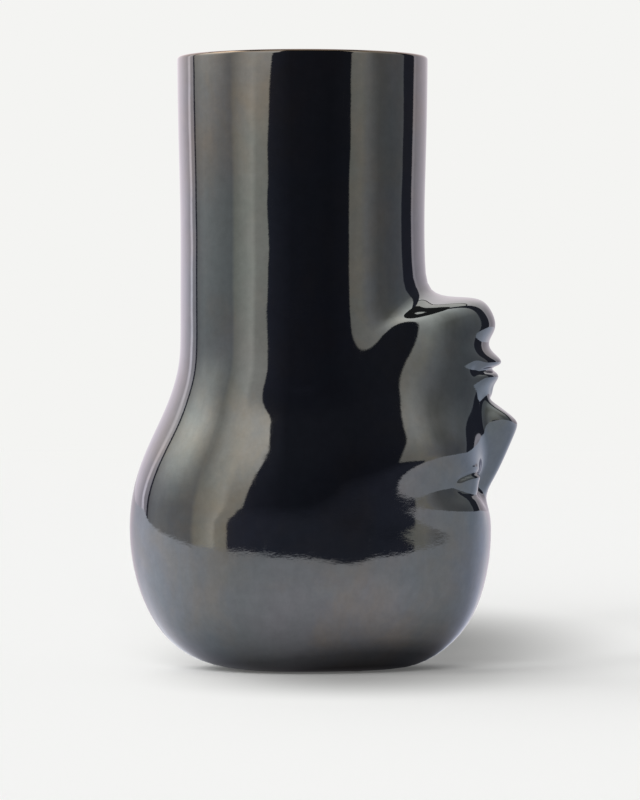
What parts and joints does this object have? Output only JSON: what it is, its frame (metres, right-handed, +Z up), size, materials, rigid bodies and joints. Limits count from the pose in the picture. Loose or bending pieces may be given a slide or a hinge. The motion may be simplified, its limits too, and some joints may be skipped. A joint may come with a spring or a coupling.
{
  "type": "vase",
  "caption": "Long-neck ceramic vase shaped as an upside-down head, with a dark metallic glaze and felt pads under its flat foot.",
  "frame": {"origin": "on the table, at the middle of the vase's footprint box: midway between the nose's tip and the back of the head, and on the plane of symmetry", "axes": "+Z up, from the head's crown to the mouth of the neck; +X the way the face looks; +Y across the face"},
  "size_m": [0.2364, 0.1722, 0.3735],
  "materials": {
    "fired_clay": "bare buff stoneware, dry and slightly grainy",
    "dark_lustre_glaze": "glossy gunmetal lustre glaze",
    "liner_glaze": "glossy dark liner glaze",
    "felt": "pressed wool felt"
  },
  "bodies": {
    "root": {"clay_body": "fired_clay", "outer_glaze": "dark_lustre_glaze", "inner_glaze": "liner_glaze", "felt_pad_1": "felt", "felt_pad_2": "felt", "felt_pad_3": "felt", "felt_pad_4": "felt"}
  },
  "joints": []
}
